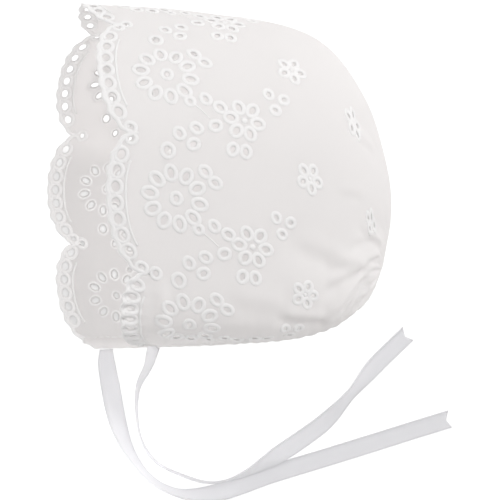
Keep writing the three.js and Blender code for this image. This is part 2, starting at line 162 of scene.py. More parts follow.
lattice_across = np.linspace(0, 1, LATTICE_COLUMNS)
lattice_back = np.linspace(0, 1, LATTICE_ROWS)
section_list = [section_points(back, lattice_across) for back in lattice_back]
PLACES = np.array([points for points, length, crown in section_list])
WIDTHS = np.array([length for points, length, crown in section_list])
OVER = unit(np.gradient(PLACES, axis=1))
ALONG = unit(np.gradient(PLACES, axis=0))
OUTWARD = unit(np.cross(OVER, ALONG))
STEPS = np.linalg.norm(np.diff(PLACES, axis=0), axis=-1)
RUNS = np.concatenate([np.zeros((1, LATTICE_COLUMNS)), np.cumsum(STEPS, axis=0)])
MERIDIANS = RUNS[-1]
BACK_OF_RUN = np.stack(
    [np.interp(lattice_back, RUNS[:, c] / MERIDIANS[c], lattice_back) for c in range(LATTICE_COLUMNS)], axis=1
)
FRONT_ARC = WIDTHS[0]
FAR_ARC = section_list[0][2]  # from the far neck corner to the crown's middle line
NEAR_ARC = FRONT_ARC - FAR_ARC


def sample(grid, row_share, column_share):
    """A value from a lattice between its points."""
    rows, columns = grid.shape[:2]
    r = np.clip(row_share, 0, 1) * (rows - 1)
    c = np.clip(column_share, 0, 1) * (columns - 1)
    r0 = np.minimum(r.astype(int), rows - 2)
    c0 = np.minimum(c.astype(int), columns - 2)
    fr = r - r0
    fc = c - c0
    if grid.ndim == 3:
        fr = fr[..., None]
        fc = fc[..., None]
    top = grid[r0, c0] * (1 - fc) + grid[r0, c0 + 1] * fc
    bottom = grid[r0 + 1, c0] * (1 - fc) + grid[r0 + 1, c0 + 1] * fc
    return top * (1 - fr) + bottom * fr


# Flat cloth coordinates: u runs along the face edge from the crown's middle line towards the near neck, and v
# from the line through the scallops' tips towards the nape.


def across_of(u):
    return (np.asarray(u, float) + FAR_ARC) / FRONT_ARC


def from_neck(u):
    return np.minimum(FAR_ARC + u, NEAR_ARC - u)


def meridian_length(u):
    return np.interp(across_of(u), lattice_across, MERIDIANS)


def back_of(u, v):
    return sample(BACK_OF_RUN, np.asarray(v, float) / meridian_length(u), across_of(u))


SCALLOP_CENTRES = (SCALLOP_JOINTS[:-1] + SCALLOP_JOINTS[1:]) / 2
SCALLOP_HALVES = np.diff(SCALLOP_JOINTS) / 2


def scallop_at(u):
    """Which scallop is at a place along the face edge."""
    return np.clip(np.searchsorted(SCALLOP_JOINTS, u) - 1, 0, len(SCALLOP_CENTRES) - 1)


def border_wave(u):
    """Highest at the middle of each eyelet along the face edge and lowest between eyelets, from 1 to -1."""
    i = scallop_at(u)
    return np.cos(2 * np.pi * (u - SCALLOP_CENTRES[i]) / BORDER_PITCHES[i])


def edge_distance(u):
    """How far the scalloped edge stands back from the line through the scallops' tips."""
    i = scallop_at(u)
    off_centre = np.minimum(np.abs(u - SCALLOP_CENTRES[i]) / SCALLOP_HALVES[i], 1)
    return SCALLOP_DEPTH * (1 - np.sqrt(1 - off_centre ** SCALLOP_POWER))


# Soft folds on the near side. A row gives two places on the cloth as shares across and back, then the height
# and the width of the fold between them. A negative height is a hollow.
FOLDS = np.array([
    [0.836, 0.5, 0.856, 0.72, -1.0, 0.03],
    [0.804, 0.767, 0.735, 0.912, -0.6, 0.025],
    [0.927, 0.475, 0.94, 0.613, -1.6, 0.03],
    [0.648, 0.675, 0.642, 0.771, -0.8, 0.025],
    [0.86, 0.779, 0.904, 0.671, 1.2, 0.03],
    [0.881, 0.821, 0.927, 0.725, -1.2, 0.025],
    [0.885, 0.64, 0.9, 0.665, -1.4, 0.028],
    [0.9, 0.125, 0.985, 0.115, 1.3, 0.018],
])
# Creases, in the same columns: each has a ridge on its crown side and a hollow on its neck side.
CREASES = np.array([
    [0.838, 0.52, 0.856, 0.72, 0.6, 0.016],
    [0.865, 0.646, 0.852, 0.792, 0.8, 0.014],
    [0.852, 0.792, 0.821, 0.921, 0.9, 0.012],
    [0.892, 0.621, 0.852, 0.858, 1.1, 0.012],
    [0.935, 0.66, 0.862, 0.87, 1.3, 0.01],
    [0.944, 0.7, 0.872, 0.87, 1.3, 0.01],
    [0.944, 0.75, 0.882, 0.875, 1.2, 0.009],
    [0.938, 0.8, 0.893, 0.88, 1.0, 0.009],
    [0.93, 0.84, 0.905, 0.89, 0.8, 0.008],
    [0.929, 0.458, 0.944, 0.629, 1.3, 0.012],
    [0.904, 0.321, 0.919, 0.479, 0.6, 0.016],
    [0.792, 0.775, 0.785, 0.921, 0.6, 0.012],
    [0.823, 0.74, 0.79, 0.86, 0.6, 0.01],
    [0.76, 0.65, 0.744, 0.75, 0.3, 0.01],
    [0.669, 0.688, 0.656, 0.762, 0.5, 0.01],
])
CREASE_PEAK = 2.33  # brings a crease's profile to a height of 1
CREASE_RISE = (-0.15, 0.2)  # a crease rises and falls between these shares of its length
CREASE_FALL = (0.8, 1.15)
GATHERS = 52
GATHER_SEED = 11
GATHER_SHIFT = 0.28  # how far a gather may stray and how wide it is, against the pitch of the gathers
GATHER_WIDTH = (0.3, 0.48)
GATHER_HEIGHT = (0.8, 1.6)
GATHER_START = (0.56, 0.84)
GATHER_END = 0.93
# How strongly the gathers stand up, by the place across the cloth.
GATHER_SHARES = ((0, 0.5, 0.68, 0.82, 0.87, 1), (0.7, 0.6, 0.15, 0.2, 0.9, 1))
PUCKER_PITCH = 5.4
PUCKER_HEIGHT = 0.45
PUCKER_MIDDLE = 0.5
# The waves that make up the puckers: height, rate against the pitch, sway and the sway's length.
PUCKER_WAVES = ((0.3, 1, 1.6, 9), (0.2, 0.63, 2, 14))
PUCKER_START = 10  # puckers are full up to here from the neck edge and fade out by the next distance
PUCKER_END = 32
# The near front corner is drawn in by its tie, so the last scallop's border stands in ridges between eyelets.
RUFFLE_HEIGHT = 0.8
RUFFLE_DEPTH = 7
RUFFLE_START = 132
RUFFLE_END = 146


def gather_rows():
    """The middle, width, height and start of each gather, uneven but the same each time."""
    rng = random.Random(GATHER_SEED)
    rows = []
    for i in range(GATHERS):
        middle = (i + 0.5 + rng.uniform(-GATHER_SHIFT, GATHER_SHIFT)) / GATHERS
        width = rng.uniform(*GATHER_WIDTH) / GATHERS
        height = rng.uniform(*GATHER_HEIGHT)
        start = rng.uniform(*GATHER_START)
        rows.append((middle, width, height, start))
    return rows


def pucker_wave(v):
    """Uneven puckers along the neck edge, from 0 to 1."""
    turn = 2 * np.pi * v / PUCKER_PITCH
    height = PUCKER_MIDDLE
    for share, rate, sway, sway_length in PUCKER_WAVES:
        height = height + share * np.cos(rate * turn + sway * np.sin(v / sway_length))
    return height


def relief(u, v):
    """Height of folds, creases, gathers, puckers and ruffles above the smooth cloth."""
    across = across_of(u)
    back = back_of(u, v)
    height = np.zeros_like(across)
    for across0, back0, across1, back1, rise, width in FOLDS:
        run = np.array([across1 - across0, back1 - back0])
        share = np.clip(((across - across0) * run[0] + (back - back0) * run[1]) / (run @ run), 0, 1)
        apart = np.hypot(across - across0 - run[0] * share, back - back0 - run[1] * share) / width
        height += rise * np.exp(-apart * apart)
    for across0, back0, across1, back1, rise, width in CREASES:
        run = np.array([across1 - across0, back1 - back0])
        share = ((across - across0) * run[0] + (back - back0) * run[1]) / (run @ run)
        apart = (run[0] * (back - back0) - run[1] * (across - across0)) / np.linalg.norm(run) / width
        ends = smoothstep(share, *CREASE_RISE) * (1 - smoothstep(share, *CREASE_FALL))
        height += rise * CREASE_PEAK * apart * np.exp(-apart * apart) * ends
    fade = np.interp(across, *GATHER_SHARES) * (1 - smoothstep(back, GATHER_END, 1))
    for middle, width, rise, start in gather_rows():
        ridge = np.exp(-(((across - middle) / width) ** 2)) - width * math.sqrt(math.pi)
        height += rise * smoothstep(back, start, GATHER_END) * fade * ridge
    height -= PUCKER_HEIGHT * (1 - smoothstep(from_neck(u), PUCKER_START, PUCKER_END)) * pucker_wave(v)
    from_edge = (v - edge_distance(u)) / RUFFLE_DEPTH
    ruffle = smoothstep(u, RUFFLE_START, RUFFLE_END) * np.exp(-(from_edge**2)) * border_wave(u)
    return height - RUFFLE_HEIGHT * ruffle


CLOTH_SINK = 0.65  # the middle of the cloth lies this far inside the solid's outer face
FLOOR_CLEARANCE = 0.05


def cloth_points(u, v, rise):
    """Places in the room of points on the cloth, rise above its middle, in metres."""
    u = np.asarray(u, float)
    v = np.asarray(v, float)
    across = across_of(u)
    back = back_of(u, v)
    height = relief(u, v) - CLOTH_SINK + rise
    points = sample(PLACES, back, across) + sample(OUTWARD, back, across) * height[..., None]
    points[..., 2] = np.maximum(points[..., 2], FLOOR_CLEARANCE)
    return points * MM


# Meshes


def mesh_object(name, vertices, faces, material, flat):
    """A smooth mesh that rides on the root body, with each vertex's place on the flat material as its UV."""
    mesh = bpy.data.meshes.new(name)
    mesh.from_pydata(vertices.tolist(), [], faces)
    mesh.validate()
    layer = mesh.uv_layers.new(name="flat")
    corners = np.empty(len(mesh.loops), int)
    mesh.loops.foreach_get("vertex_index", corners)
    layer.data.foreach_set("uv", flat[corners].astype(np.float32).ravel())
    mesh.polygons.foreach_set("use_smooth", np.ones(len(mesh.polygons), bool))
    mesh.materials.append(material)
    made = bpy.data.objects.new(name, mesh)
    bpy.context.scene.collection.objects.link(made)
    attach(made, "root")
    return made


def tube_quads(start, rings, sides, closed):
    """Faces between rings of points that are numbered from start."""
    i = np.arange(rings if closed else rings - 1)[:, None]
    k = np.arange(sides)[None, :]
    here = start + i * sides
    there = start + ((i + 1) % rings) * sides
    beside = (k + 1) % sides
    return np.stack([here + k, here + beside, there + beside, there + k], axis=-1).reshape(-1, 4).tolist()


# Materials

COTTON = (0.97, 0.955, 0.95)
COTTON_SHADE = (0.96, 0.945, 0.94)
THREAD = (0.97, 0.955, 0.951)
RIBBON = (0.92, 0.917, 0.928)
SELVAGE = (0.83, 0.827, 0.84)
SELVAGE_START = 3.4  # from the ribbon's middle line, where its darker woven edge begins and is full
SELVAGE_END = 4.0
SHEEN_ROUGHNESS = 0.5
SPECULAR = 0.2
THREAD_PITCH = 0.5  # between the threads of the cotton and the stitches of the rims
RIB_PITCH = 0.6  # between the ribs of a ribbon
WAVE_UNIT = 0.314  # a wave texture's period at scale 1


def new_material(name, colour, roughness, sheen):
    material = bpy.data.materials.new(name)
    material.use_nodes = True
    shader = material.node_tree.nodes["Principled BSDF"]
    shader.inputs["Base Color"].default_value = (*colour, 1)
    shader.inputs["Roughness"].default_value = roughness
    shader.inputs["Sheen Weight"].default_value = sheen
    shader.inputs["Sheen Roughness"].default_value = SHEEN_ROUGHNESS
    shader.inputs["Specular IOR Level"].default_value = SPECULAR
    return material, material.node_tree, shader


def add_node(tree, kind, **values):
    made = tree.nodes.new(kind)
    for name, value in values.items():
        made.inputs[name.replace("_", " ")].default_value = value
    return made


def wave(tree, flat, direction, period):
    """Even ridges across one direction of the flat material."""
    made = add_node(tree, "ShaderNodeTexWave", Scale=WAVE_UNIT / period, Distortion=0.0)
    made.bands_direction = direction
    tree.links.new(flat.outputs["UV"], made.inputs["Vector"])
    return made


def flat_map(tree):
    made = tree.nodes.new("ShaderNodeUVMap")
    made.uv_map = "flat"
    return made


def bump(tree, shader, height, strength, distance):
    made = add_node(tree, "ShaderNodeBump", Strength=strength, Distance=distance * MM)
    tree.links.new(height, made.inputs["Height"])
    tree.links.new(made.outputs["Normal"], shader.inputs["Normal"])


def see_through(tree, shader, colour, share):
    """Lets some of the light from the far side of thin cloth through."""
    glow = add_node(tree, "ShaderNodeBsdfTranslucent", Color=(*colour, 1))
    mix = add_node(tree, "ShaderNodeMixShader", Fac=share)
    tree.links.new(shader.outputs[0], mix.inputs[1])
    tree.links.new(glow.outputs[0], mix.inputs[2])
    tree.links.new(mix.outputs[0], tree.nodes["Material Output"].inputs["Surface"])


def cotton_material():
    """Plain woven cotton, faintly mottled, that lets some light through."""
    material, tree, shader = new_material("cotton", COTTON, roughness=0.9, sheen=0.15)
    flat = flat_map(tree)
    warp = wave(tree, flat, "X", THREAD_PITCH)
    weft = wave(tree, flat, "Y", THREAD_PITCH)
    weave = tree.nodes.new("ShaderNodeMath")
    weave.operation = "MULTIPLY"
    tree.links.new(warp.outputs["Fac"], weave.inputs[0])
    tree.links.new(weft.outputs["Fac"], weave.inputs[1])
    bump(tree, shader, weave.outputs[0], strength=0.25, distance=0.1)
    mottle = add_node(tree, "ShaderNodeTexNoise", Scale=0.09, Detail=3.0)
    tree.links.new(flat.outputs["UV"], mottle.inputs["Vector"])
    ramp = tree.nodes.new("ShaderNodeValToRGB")
    ramp.color_ramp.elements[0].color = (*COTTON_SHADE, 1)
    ramp.color_ramp.elements[1].color = (*COTTON, 1)
    tree.links.new(mottle.outputs["Fac"], ramp.inputs["Fac"])
    tree.links.new(ramp.outputs["Color"], shader.inputs["Base Color"])
    see_through(tree, shader, COTTON, share=0.4)
    return material


def thread_material():
    """Satin stitches side by side."""
    material, tree, shader = new_material("thread", THREAD, roughness=0.6, sheen=0.3)
    stitches = wave(tree, flat_map(tree), "X", THREAD_PITCH)
    bump(tree, shader, stitches.outputs["Fac"], strength=0.4, distance=0.15)
    return material


def edge_shade(tree, shader):
    """Darkens a ribbon's woven edges."""
    parts = tree.nodes.new("ShaderNodeSeparateXYZ")
    tree.links.new(flat_map(tree).outputs["UV"], parts.inputs["Vector"])
    off_middle = tree.nodes.new("ShaderNodeMath")
    off_middle.operation = "ABSOLUTE"
    tree.links.new(parts.outputs["Y"], off_middle.inputs[0])
    spread = add_node(tree, "ShaderNodeMapRange", From_Min=SELVAGE_START, From_Max=SELVAGE_END)
    tree.links.new(off_middle.outputs[0], spread.inputs["Value"])
    ramp = tree.nodes.new("ShaderNodeValToRGB")
    ramp.color_ramp.elements[0].color = (*RIBBON, 1)
    ramp.color_ramp.elements[1].color = (*SELVAGE, 1)
    tree.links.new(spread.outputs["Result"], ramp.inputs["Fac"])
    tree.links.new(ramp.outputs["Color"], shader.inputs["Base Color"])


def ribbon_material():
    """Finely ribbed ribbon with darker edges, that lets some light through."""
    material, tree, shader = new_material("ribbon", RIBBON, roughness=0.5, sheen=0.3)
    ribs = wave(tree, flat_map(tree), "X", RIB_PITCH)
    bump(tree, shader, ribs.outputs["Fac"], strength=0.3, distance=0.1)
    edge_shade(tree, shader)
    see_through(tree, shader, RIBBON, share=0.5)
    return material


cotton = cotton_material()
thread = thread_material()
ribbon = ribbon_material()

# Ribbon routes, as in the solids: places on the table, the height of the lower edge, the turn and the width.
FAR_ROUTE = np.array([
    [-48.8, -81.1, 0.1, 0, 8],
    [-46.5, -95.2, 0.1, 0, 9],
    [-43.5, -110.1, 0.1, -24, 9],
    [-37.9, -124.0, 0.1, -56, 9],
    [-28.2, -136.3, 0.1, -73, 9],
    [-14.5, -143.4, 0.1, -73, 9],
    [2.3, -144.0, 0.1, -44, 9],
    [14.0, -141.8, 0.1, -10, 9],
    [30.0, -137.3, 0.1, 0, 9],
    [65.5, -128.5, 0.1, 0, 9],
    [107.5, -117.8, 0.1, 0, 9],
    [123.6, -113.8, 0.1, 0, 9],
])
NEAR_ROUTE = np.array([
    [-35.8, -80.1, 34.5, 86, 8],
    [-37.3, -91.0, 19.0, 94, 9],
    [-36.1, -103.6, 6.0, 95, 9],
    [-33.0, -117.3, 0.8, 92, 9],
    [-26.7, -127.4, 0.4, 84, 9],
    [-14.9, -134.2, 0.6, 78, 9],
    [-2.1, -138.4, 1.8, 75, 9],
    [7.5, -137.8, 2.0, 72, 9],
    [18.3, -134.4, 1.9, 54, 9],
    [27.0, -130.6, 1.7, 28, 9],
    [34.2, -127.2, 1.4, 6, 9],
    [44.9, -121.4, 0.3, 0, 9],
    [57.8, -112.5, 0.1, 8, 9],
    [70.1, -99.5, 0.1, 40, 9],
    [83.2, -86.5, 0.1, 5, 9],
    [101.1, -70.5, 0.1, 0, 9],
])
FAR_SEAM = {"across": 0, "back": 0.12, "turn": 0, "width": 6}
NEAR_SEAM = {"across": 1, "back": 0.1, "turn": 50, "width": 5}
SEAM_GAP = 0.3
CASING_WIDTH = 4
CASING_THICKNESS = 2.2
CASING_NAPE_SHARE = 0.4
RIBBON_THICKNESS = 1
RIBBON_STEPS = 200
ROUTE_STEPS = 40  # between two places of a route
RIBBON_NOTCH = 2.2
NOTCH_REACH = 6
SELVAGE_HALF = 0.4
# Half of a ribbon's section: places across, against half its width, and thickness against the woven edge's.
RIBBON_PROFILE = np.array([
    [-1, 0.5], [-0.96, 1], [-0.9, 1], [-0.86, 0.6], [-0.5, 0.6], [0, 0.6],
    [0.5, 0.6], [0.86, 0.6], [0.9, 1], [0.96, 1], [1, 0.5],
])


def neck_frame(across, back):
    """A place on the neck edge with the directions away from the cloth and out of it, and the hem's width."""
    back = np.asarray(back, float)
    column = np.full_like(back, across)
    edge = sample(PLACES, back, column)
    out = sample(OUTWARD, back, column)
    along = sample(ALONG, back, column)
    away = unit(np.cross(along, out)) * (-1 if across == 0 else 1)
    apart = sample(PLACES, back, np.zeros_like(back)) - sample(PLACES, back, np.ones_like(back))
    width = np.minimum(CASING_WIDTH, CASING_NAPE_SHARE * np.linalg.norm(apart, axis=-1))
    return edge, away, out, width


def ribbon_lift(turn, width):
    """How far a ribbon's middle line stands above its lower edge."""
    angle = np.radians(np.abs(turn))
    return (width * np.sin(angle) + RIBBON_THICKNESS * np.cos(angle)) / 2


def route_spline(points, steps):
    """A centripetal spline through points: even steps along it, and each step's place in the list."""
    ends = [2 * points[0] - points[1], *points, 2 * points[-1] - points[-2]]
    dense = []
    shares = []
    fine = np.linspace(0, 1, ROUTE_STEPS, endpoint=False)
    for i in range(len(points) - 1):
        p0, p1, p2, p3 = ends[i : i + 4]
        d0, d1, d2 = (math.sqrt(np.linalg.norm(b - a)) for a, b in ((p0, p1), (p1, p2), (p2, p3)))
        m1 = ((p1 - p0) / d0 - (p2 - p0) / (d0 + d1) + (p2 - p1) / d1) * d1
        m2 = ((p2 - p1) / d1 - (p3 - p1) / (d1 + d2) + (p3 - p2) / d2) * d1
        t = fine[:, None]
        dense.append(
            (2 * t**3 - 3 * t**2 + 1) * p1
            + (t**3 - 2 * t**2 + t) * m1
            + (3 * t**2 - 2 * t**3) * p2
            + (t**3 - t**2) * m2
        )
        shares.append(i + fine)
    dense = np.concatenate([*dense, points[-1:]])
    shares = np.concatenate([*shares, [len(points) - 1]])
    runs = np.concatenate([[0], np.cumsum(np.linalg.norm(np.diff(dense, axis=0), axis=1))])
    even = np.linspace(0, runs[-1], steps + 1)
    places = np.stack([np.interp(even, runs, dense[:, k]) for k in range(3)], axis=1)
    return places, np.interp(even, runs, shares)


def make_tie(name, node, seam, route):
    """A flat ribbon from the hem along its route to a notched end, turning about its length on the way."""
    edge, away, out, width = neck_frame(seam["across"], [seam["back"]])
    start = (edge + away * (2 * SEAM_GAP + width[:, None]) - out * CASING_THICKNESS / 2)[0]
    lower = start[2] - ribbon_lift(seam["turn"], seam["width"])
    rows = np.vstack([[start[0], start[1], lower, seam["turn"], seam["width"]], route])
    places, shares = route_spline(rows[:, :3], RIBBON_STEPS)
    order = np.arange(len(rows))
    turns = smooth(order, rows[:, 3], shares)
    halves = smooth(order, rows[:, 4], shares) / 2
    ahead = unit(np.gradient(places, axis=0))
    places[:, 2] += ribbon_lift(turns, 2 * halves)
    level = unit(np.cross([0, 0, 1], ahead))
    lift = np.cross(ahead, level)
    angle = np.radians(turns)[:, None]
    side = level * np.cos(angle) + lift * np.sin(angle)
    face = np.cross(ahead, side)
    across = np.concatenate([RIBBON_PROFILE[:, 0], RIBBON_PROFILE[::-1, 0]])
    through = np.concatenate([-RIBBON_PROFILE[:, 1], RIBBON_PROFILE[::-1, 1]]) * SELVAGE_HALF
    vertices = (
        places[:, None, :]
        + side[:, None, :] * (across[None, :, None] * halves[:, None, None])
        + face[:, None, :] * through[None, :, None]
    )
    runs = np.concatenate([[0], np.cumsum(np.linalg.norm(np.diff(places, axis=0), axis=1))])
    drawn_in = np.clip(1 - (runs[-1] - runs) / NOTCH_REACH, 0, 1)
    notch = RIBBON_NOTCH * drawn_in[:, None] * (1 - np.abs(across))[None, :]
    vertices -= ahead[:, None, :] * notch[..., None]
    flat = np.stack(np.broadcast_arrays(runs[:, None], across[None, :] * halves[:, None]), axis=-1)
    rings, sides = vertices.shape[:2]
    faces = tube_quads(0, rings, sides, False)
    count = len(RIBBON_PROFILE)
    for k in range(count - 1):
        faces.append([k, sides - 1 - k, sides - 2 - k, k + 1])
        end = (rings - 1) * sides
        faces.append([end + k, end + k + 1, end + sides - 2 - k, end + sides - 1 - k])
    tie = mesh_object(name, vertices.reshape(-1, 3) * MM, faces, ribbon, flat.reshape(-1, 2))
    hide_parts(node)


make_tie("ribbon_far", "tie_far", FAR_SEAM, FAR_ROUTE)
make_tie("ribbon_near", "tie_near", NEAR_SEAM, NEAR_ROUTE)

# Eyelets along the face edge: how far they stand back from it, and their radii along and across the edge.
BORDER_INSET = 3.7
BORDER_RADII = (1.9, 1.4)
CUSP_RADII = (1.1, 0.9)
DRAWN_IN_RADII = (1.0, 1.5)
# Eyelet chart for one scallop: flowers, then single eyelets, by place and size on the flat cloth. A flower's
# middle is 1 for an eyelet and 0 for a satin dot.
FLOWERS = np.array([
    # u, v, ring radius, petals, long radius, short radius, first angle, middle
    [0, 26.5, 9.8, 10, 1.85, 1.15, 6, 1],
    [18.5, 56.3, 5.6, 6, 1.6, 1.1, 20, 0],
])
# Small flowers scattered towards the back, on the whole cloth: u, v and first angle.
SMALL_FLOWERS = np.array([
    [-143.7, 77.7, 10], [-97.9, 126.1, 40], [-93.5, 83.9, 10], [-58.6, 111.7, 40], [-48.5, 79.4, 10],
    [-7.5, 80, 10], [0.5, 116.5, 40], [11, 150, 25],
    [48.5, 79.4, 10], [58.6, 111.7, 40], [93.5, 83.9, 10], [97.9, 126.1, 40], [143.7, 77.7, 10],
])
SMALL_FLOWER = (3.9, 5, 1.1, 0.75)  # ring radius, petals, long radius, short radius
EYELETS = np.array([
    # u, v, long radius, short radius, slant in degrees
    [0, 27, 1.2, 1, 0],
    [-10.6, 39.1, 1.4, 0.95, 45],
    [-6.4, 42.9, 1.4, 0.95, 60],
    [11.7, 34.9, 0.8, 0.65, 40],
    [-18.3, 24.8, 1.7, 1.4, 0],
    [-25.1, 29.7, 1.3, 0.95, 20],
    [-27.4, 36.6, 1.3, 0.95, 60],
    [-21.1, 35, 1.3, 0.95, 120],
    [13.6, 46.8, 1.4, 0.95, 60],
    [21.2, 44.3, 1.4, 0.95, 110],
    [10.4, 41.3, 1.2, 0.85, 30],
    [30.3, 50.7, 1.4, 0.95, 150],
    [31, 56.1, 1.4, 0.95, 0],
    [6.5, 67.6, 1, 0.75, 20],
    [8.1, 74, 1, 0.75, 120],
    [13.1, 69.8, 1, 0.75, 70],
])
NECK_CLEARANCE = 3
LAST_SHARE = 0.8  # no eyelet lies beyond this share of the way to the nape
RIM_HALF_WIDTH = 1.0
LOOP_POINTS = 18
# The middle of each repeat of the eyelet chart along the face edge, one to a scallop.
REPEATS = (-150, -101, -50, 2, 55, 105, 155)


def flower_rows():
    """Every flower on the cloth, in the columns of the chart."""
    rows = [(centre + u, *rest) for centre in REPEATS for u, *rest in FLOWERS]
    return rows + [(u, v, *SMALL_FLOWER, first, 0) for u, v, first in SMALL_FLOWERS]


def eyelet_rows():
    """Every hole in the cloth: u, v, long radius, short radius and slant from u towards v in radians."""
    rows = []
    for scallop, half, pitch in zip(SCALLOP_CENTRES, SCALLOP_HALVES, BORDER_PITCHES):
        each_side = round(half / pitch)
        inner_radii = BORDER_RADII if pitch == BORDER_PITCHES.max() else DRAWN_IN_RADII
        for k in range(-each_side, each_side + 1):
            u = scallop + k * pitch
            radii = CUSP_RADII if abs(k) == each_side else inner_radii
            slope = (edge_distance(u + 1) - edge_distance(u - 1)) / 2
            rows.append((u, edge_distance(u) + BORDER_INSET, *radii, math.atan(slope)))
    for u, v, ring, petals, long, short, first, middle in flower_rows():
        for k in range(int(petals)):
            angle = math.radians(first) + 2 * math.pi * k / petals
            rows.append((u + ring * math.cos(angle), v + ring * math.sin(angle), long, short, angle))
    for centre in REPEATS:
        for u, v, long, short, slant in EYELETS:
            rows.append((centre + u, v, long, short, math.radians(slant)))
    kept = []
    for row in rows:
        inside = from_neck(row[0]) > row[2] + RIM_HALF_WIDTH + NECK_CLEARANCE
        apart = all(math.dist(row[:2], other[:2]) > (row[2] + other[2]) + RIM_HALF_WIDTH for other in kept)
        if inside and apart and row[1] < LAST_SHARE * meridian_length(row[0]):
            kept.append(row)
    return np.array(kept)


def squeeze(u, v):
    """How much narrower the cloth is drawn at a place than at its face edge."""
    return np.interp(back_of(u, v), lattice_back, WIDTHS / FRONT_ARC)


def oval(row, grow, count):
    """Points round an eyelet in flat coordinates, grown outwards, with the outward directions."""
    u, v, long, short, slant = row
    angle = np.linspace(0, 2 * np.pi, count, endpoint=False)
    a = long + grow
    b = short + grow
    x = a * np.cos(angle)
    y = b * np.sin(angle)
    nx = b * np.cos(angle)
    ny = a * np.sin(angle)
    size = np.hypot(nx, ny)
    c = math.cos(slant)
    s = math.sin(slant)
    places = np.stack([x * c - y * s, x * s + y * c], axis=-1)
    normals = np.stack([(nx * c - ny * s) / size, (nx * s + ny * c) / size], axis=-1)
    narrow = np.array([squeeze(u, v), 1.0])
    return np.array([u, v]) + places / narrow, normals / narrow


EDGE_GAP = 0.3  # between a neck corner and the next place along the face edge


def edge_u(count):
    """Places along the face edge, closer together at the cusps between scallops."""
    parts = []
    for centre, half in zip(SCALLOP_CENTRES, SCALLOP_HALVES):
        angle = np.linspace(-np.pi / 2, np.pi / 2, count, endpoint=False)
        parts.append(centre + half * np.sin(angle))
    line = np.concatenate(parts)
    line = line[from_neck(line) > EDGE_GAP]
    return np.concatenate([[-FAR_ARC], line, [NEAR_ARC]])


def in_oval(points, row, grow):
    """Which flat points lie inside an eyelet grown outwards."""
    u, v, long, short, slant = row
    local = (points - row[:2]) * [squeeze(u, v), 1.0]
    c = math.cos(slant)
    s = math.sin(slant)
    x = (local[:, 0] * c + local[:, 1] * s) / (long + grow)
    y = (local[:, 1] * c - local[:, 0] * s) / (short + grow)
    return np.hypot(x, y) < 1


CLOTH_HALF = 0.2
CLOTH_PITCH = 1.7
CLOTH_ROWS = 104
CLOTH_EDGE_POINTS = 36  # to a scallop
EDGE_INSET = 0.8
GUIDE_GROWTH = 1.5  # a ring of points runs round each eyelet, and none lie between it and the next distance
CLEAR_GROWTH = 2.4
MERGE_DISTANCE = 1e-5
SEARCH_REACH = 6  # points farther than this from an eyelet along u or v aren't compared with it


def cloth_mesh(holes):
    """The cloth with its holes, triangulated flat, then laid on its curved form with two faces."""
    front = edge_u(CLOTH_EDGE_POINTS)
    front_v = edge_distance(front) + EDGE_INSET
    columns = np.linspace(-FAR_ARC, NEAR_ARC, int(FRONT_ARC / CLOTH_PITCH) + 1)
    lengths = meridian_length(columns)
    shares = np.linspace(0, 1, CLOTH_ROWS)
    near_side = [(NEAR_ARC, v) for v in front_v[-1] + (lengths[-1] - front_v[-1]) * shares[1:-1]]
    far_side = [(-FAR_ARC, v) for v in front_v[0] + (lengths[0] - front_v[0]) * shares[1:-1]]
    back_line = list(zip(columns, lengths))
    outline = [*zip(front, front_v), *near_side, *back_line[::-1], *far_side[::-1]]
    loops = [oval(row, 0, LOOP_POINTS)[0] for row in holes]
    guides = [oval(row, GUIDE_GROWTH, LOOP_POINTS)[0] for row in holes]
    inner_u = []
    inner_v = []
    for j, share in enumerate(shares[1:-1]):
        shift = CLOTH_PITCH / 2 * (j % 2)
        u = columns[1:-1] + shift - CLOTH_PITCH / 4
        start = edge_distance(u) + EDGE_INSET
        inner_u.append(u)
        inner_v.append(start + (meridian_length(u) - start) * share)
    inner = np.stack([np.concatenate(inner_u), np.concatenate(inner_v)], axis=-1)
    keep = np.ones(len(inner), bool)
    for row in holes:
        near = np.flatnonzero(np.abs(inner - row[:2]).max(axis=1) < SEARCH_REACH)
        keep[near[in_oval(inner[near], row, CLEAR_GROWTH)]] = False
    inner = inner[keep]
    points = [*outline, *np.concatenate(loops), *np.concatenate(guides), *inner]
    corners = len(outline)
    edges = [(i, (i + 1) % corners) for i in range(corners)]
    for k in range(len(loops)):
        start = corners + k * LOOP_POINTS
        edges += [(start + i, start + (i + 1) % LOOP_POINTS) for i in range(LOOP_POINTS)]
    places = [Vector((float(u), float(v))) for u, v in points]
    flat, _, faces, *_ = delaunay_2d_cdt(places, edges, [], 0, MERGE_DISTANCE)
    flat = np.array(flat)
    faces = np.array(faces)
    middle = flat[faces].mean(axis=1)
    inside = middle[:, 1] > np.interp(middle[:, 0], front, front_v)
    inside &= middle[:, 1] < np.interp(middle[:, 0], columns, lengths)
    for row in holes:
        near = np.flatnonzero(np.abs(middle - row[:2]).max(axis=1) < SEARCH_REACH)
        inside[near[in_oval(middle[near], row, 0)]] = False
    return flat, faces[inside]


